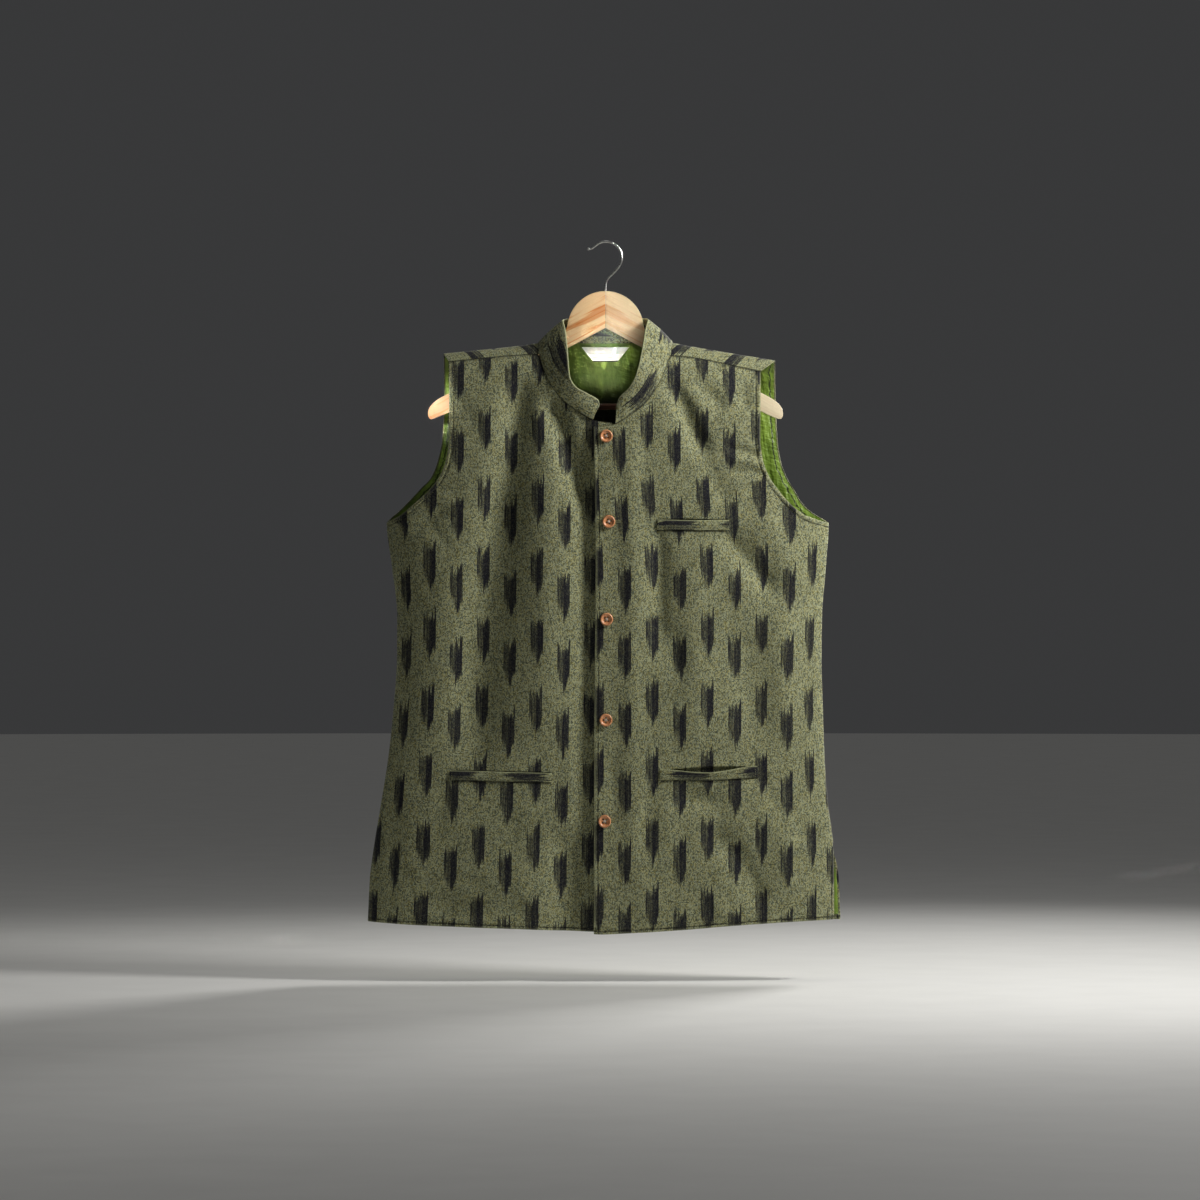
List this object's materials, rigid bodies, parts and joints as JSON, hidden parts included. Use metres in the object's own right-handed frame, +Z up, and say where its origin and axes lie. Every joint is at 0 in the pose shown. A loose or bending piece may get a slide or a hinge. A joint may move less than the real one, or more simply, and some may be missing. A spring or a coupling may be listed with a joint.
{
  "type": "nehru jacket on wooden hanger",
  "caption": "Sleeveless stand-collar waistcoat with a button placket, welt pockets, lining and side slits, hung on a flat wooden hanger with a wire hook.",
  "frame": {"origin": "inside of the hanger's hook at its top, where a rail bears", "axes": "+Z up, -Y out of the jacket's front, +X to the wearer's left"},
  "size_m": [0.5932, 0.0902, 0.8698],
  "materials": {
    "ikat_cotton": "matte handwoven cotton with dark feathered marks",
    "lining_cotton": "smooth plain lining with a soft sheen",
    "label_tape": "matte woven tape",
    "coconut_button": "satin",
    "pine": "thin clear varnish",
    "bar_wood": "satin",
    "hook_steel": "bright plated"
  },
  "bodies": {
    "root": {"hanger_half_left": "pine", "hanger_half_right": "pine", "hanger_bar": "bar_wood", "hanger_hook": "hook_steel", "front_left": "ikat_cotton", "front_right": "ikat_cotton", "back": "ikat_cotton", "collar": "ikat_cotton", "chest_welt": "ikat_cotton", "hip_welt_left": "ikat_cotton", "hip_welt_right": "ikat_cotton", "lining_front_left": "lining_cotton", "lining_front_right": "lining_cotton", "lining_back": "lining_cotton", "label": "label_tape", "button_1": "coconut_button", "button_2": "coconut_button", "button_3": "coconut_button", "button_4": "coconut_button", "button_5": "coconut_button"}
  },
  "joints": []
}
